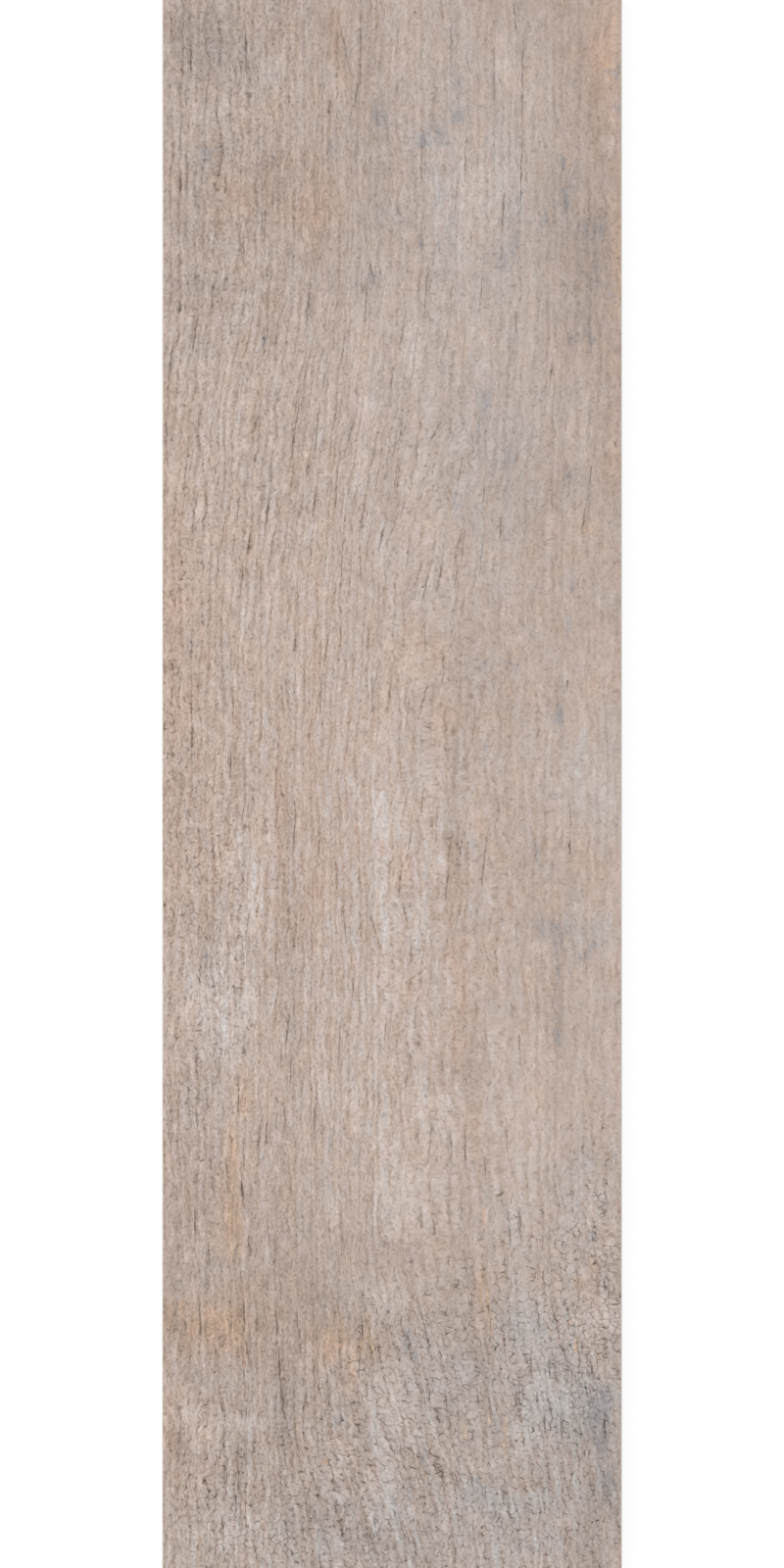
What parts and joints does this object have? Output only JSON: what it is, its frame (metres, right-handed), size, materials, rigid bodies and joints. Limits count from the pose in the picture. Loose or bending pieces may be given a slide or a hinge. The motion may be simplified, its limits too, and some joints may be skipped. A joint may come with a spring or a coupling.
{
  "type": "porcelain tile",
  "caption": "Wood-look porcelain plank tile with a matt, embossed grain face, straight ground edges with fine bevels, and a keyed back for adhesive.",
  "frame": {"origin": "centre of the plane that the ribs of the back stand on", "axes": "+X across the plank, +Y along its length and grain, +Z out of the face"},
  "size_m": [0.175, 0.6, 0.008],
  "materials": {
    "porcelain": "matte"
  },
  "bodies": {
    "root": {"porcelain_tile": "porcelain"}
  },
  "joints": []
}
